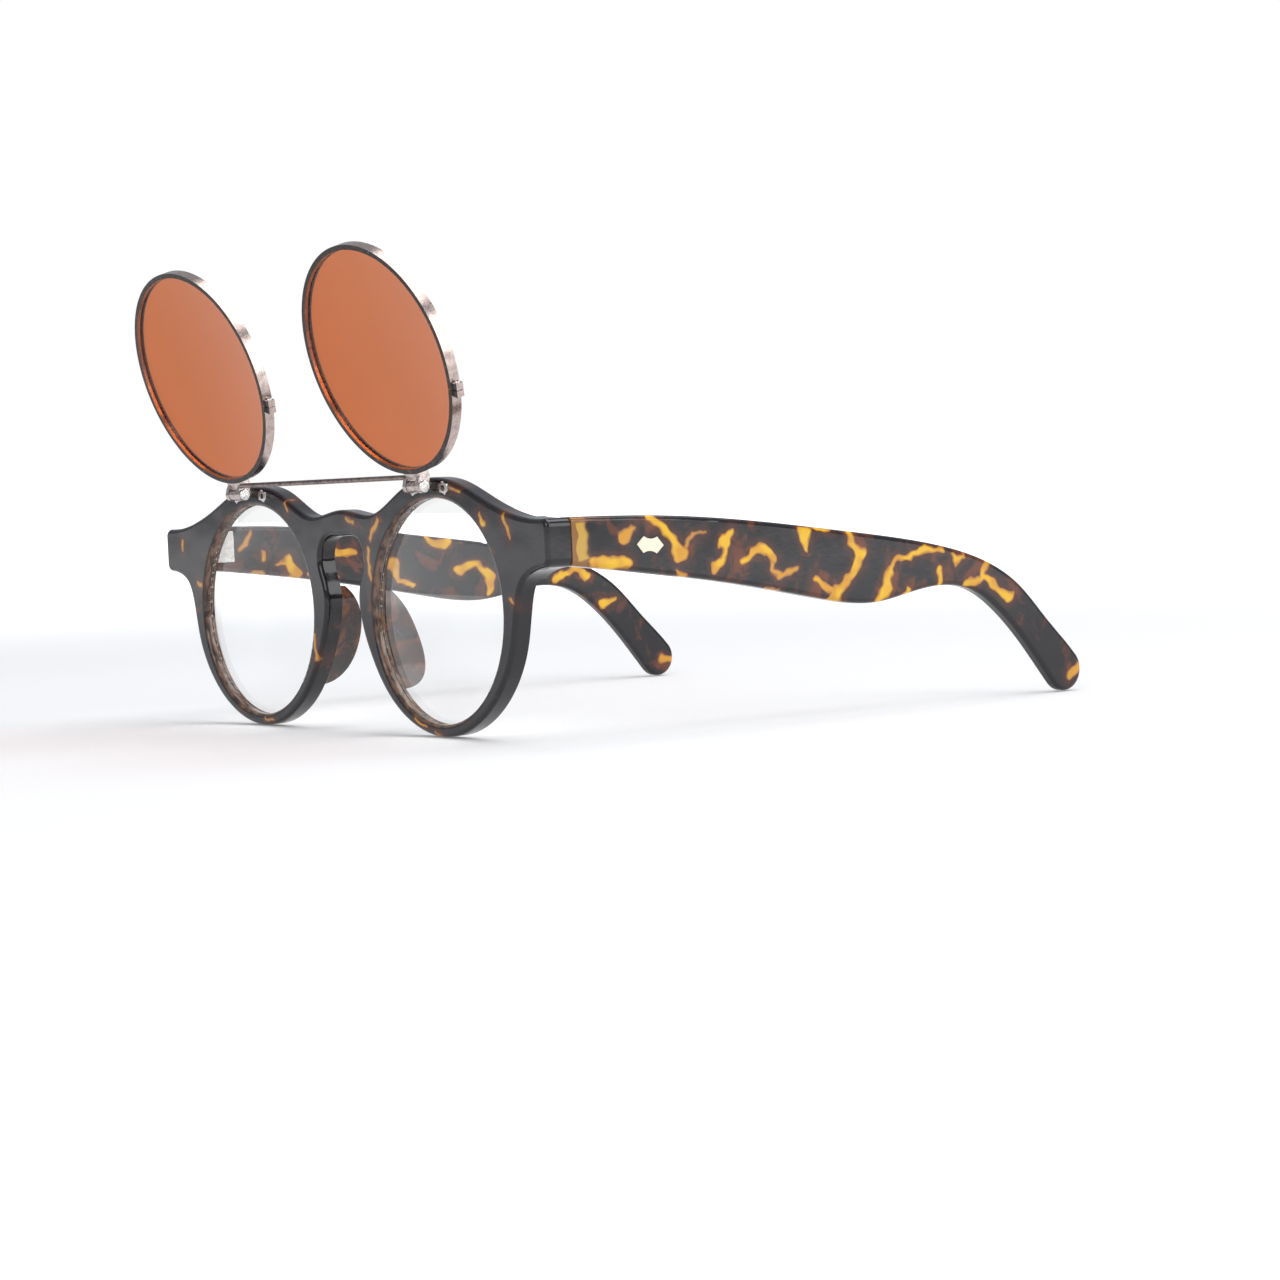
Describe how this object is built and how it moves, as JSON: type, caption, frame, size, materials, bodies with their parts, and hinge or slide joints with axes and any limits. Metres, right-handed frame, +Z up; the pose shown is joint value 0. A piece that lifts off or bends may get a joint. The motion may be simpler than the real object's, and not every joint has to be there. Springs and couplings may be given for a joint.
{
  "type": "flip-up spectacles",
  "caption": "Round acetate spectacles with clear lenses and a hinged pair of brown tinted lenses that flip up above the brows or down over the clear ones; the temples fold.",
  "frame": {"origin": "centre of the whole object's footprint, on the surface it stands on", "axes": "+X to the wearer's left, front facing -Y, temples running towards +Y, +Z up"},
  "size_m": [0.1422, 0.1574, 0.0956],
  "materials": {
    "front_acetate": "polished dark tortoise acetate",
    "temple_acetate": "polished tortoise acetate, dark brown with amber and yellow patches",
    "pad_acetate": "polished translucent amber",
    "clear_lens": "polished",
    "sun_lens": "polished brown tint",
    "gunmetal": "polished dark plating",
    "hinge_metal": "polished",
    "rivet_metal": "polished",
    "screw_metal": "polished steel",
    "leaf_metal": "bright nickel silver",
    "plaque_metal": "satin pale gold",
    "core_steel": "plain drawn wire"
  },
  "bodies": {
    "front": {"front_frame": "front_acetate", "clear_lens_left": "clear_lens", "clear_lens_right": "clear_lens", "nose_pad_left": "pad_acetate", "nose_pad_right": "pad_acetate", "front_hinge_leaf_left": "leaf_metal", "front_hinge_leaf_right": "leaf_metal", "temple_hinge_screw_left": "screw_metal", "temple_hinge_screw_right": "screw_metal", "flip_hinge_base_left": "hinge_metal", "flip_hinge_base_right": "hinge_metal", "flip_hinge_rivets_left": "rivet_metal", "flip_hinge_rivets_right": "rivet_metal"},
    "temple_left": {"temple_left": "temple_acetate", "temple_core_left": "core_steel", "temple_plaque_left": "plaque_metal", "temple_hinge_leaf_left": "leaf_metal"},
    "temple_right": {"temple_right": "temple_acetate", "temple_core_right": "core_steel", "temple_plaque_right": "plaque_metal", "temple_hinge_leaf_right": "leaf_metal"},
    "flip": {"flip_bar": "gunmetal", "flip_rim_left": "gunmetal", "flip_rim_right": "gunmetal", "flip_rim_screw_left": "screw_metal", "flip_rim_screw_right": "screw_metal", "sun_lens_left": "sun_lens", "sun_lens_right": "sun_lens", "flip_bracket_left": "hinge_metal", "flip_bracket_right": "hinge_metal", "flip_hinge_screw_left": "screw_metal", "flip_hinge_screw_right": "screw_metal"}
  },
  "joints": [
    {"name": "temple_left_fold", "type": "hinge", "parent": "front", "child": "temple_left", "pos_m": [0.0656, -0.05346, 0.03735], "axis": [0, 0, 1], "range_deg": [0, 88]},
    {"name": "temple_right_fold", "type": "hinge", "parent": "front", "child": "temple_right", "pos_m": [-0.0656, -0.05346, 0.03735], "axis": [0, 0, -1], "range_deg": [0, 72]},
    {"name": "flip_up_down", "type": "hinge", "parent": "front", "child": "flip", "pos_m": [0, -0.06376, 0.0488], "axis": [1, 0, 0], "range_deg": [0, 162]}
  ]
}
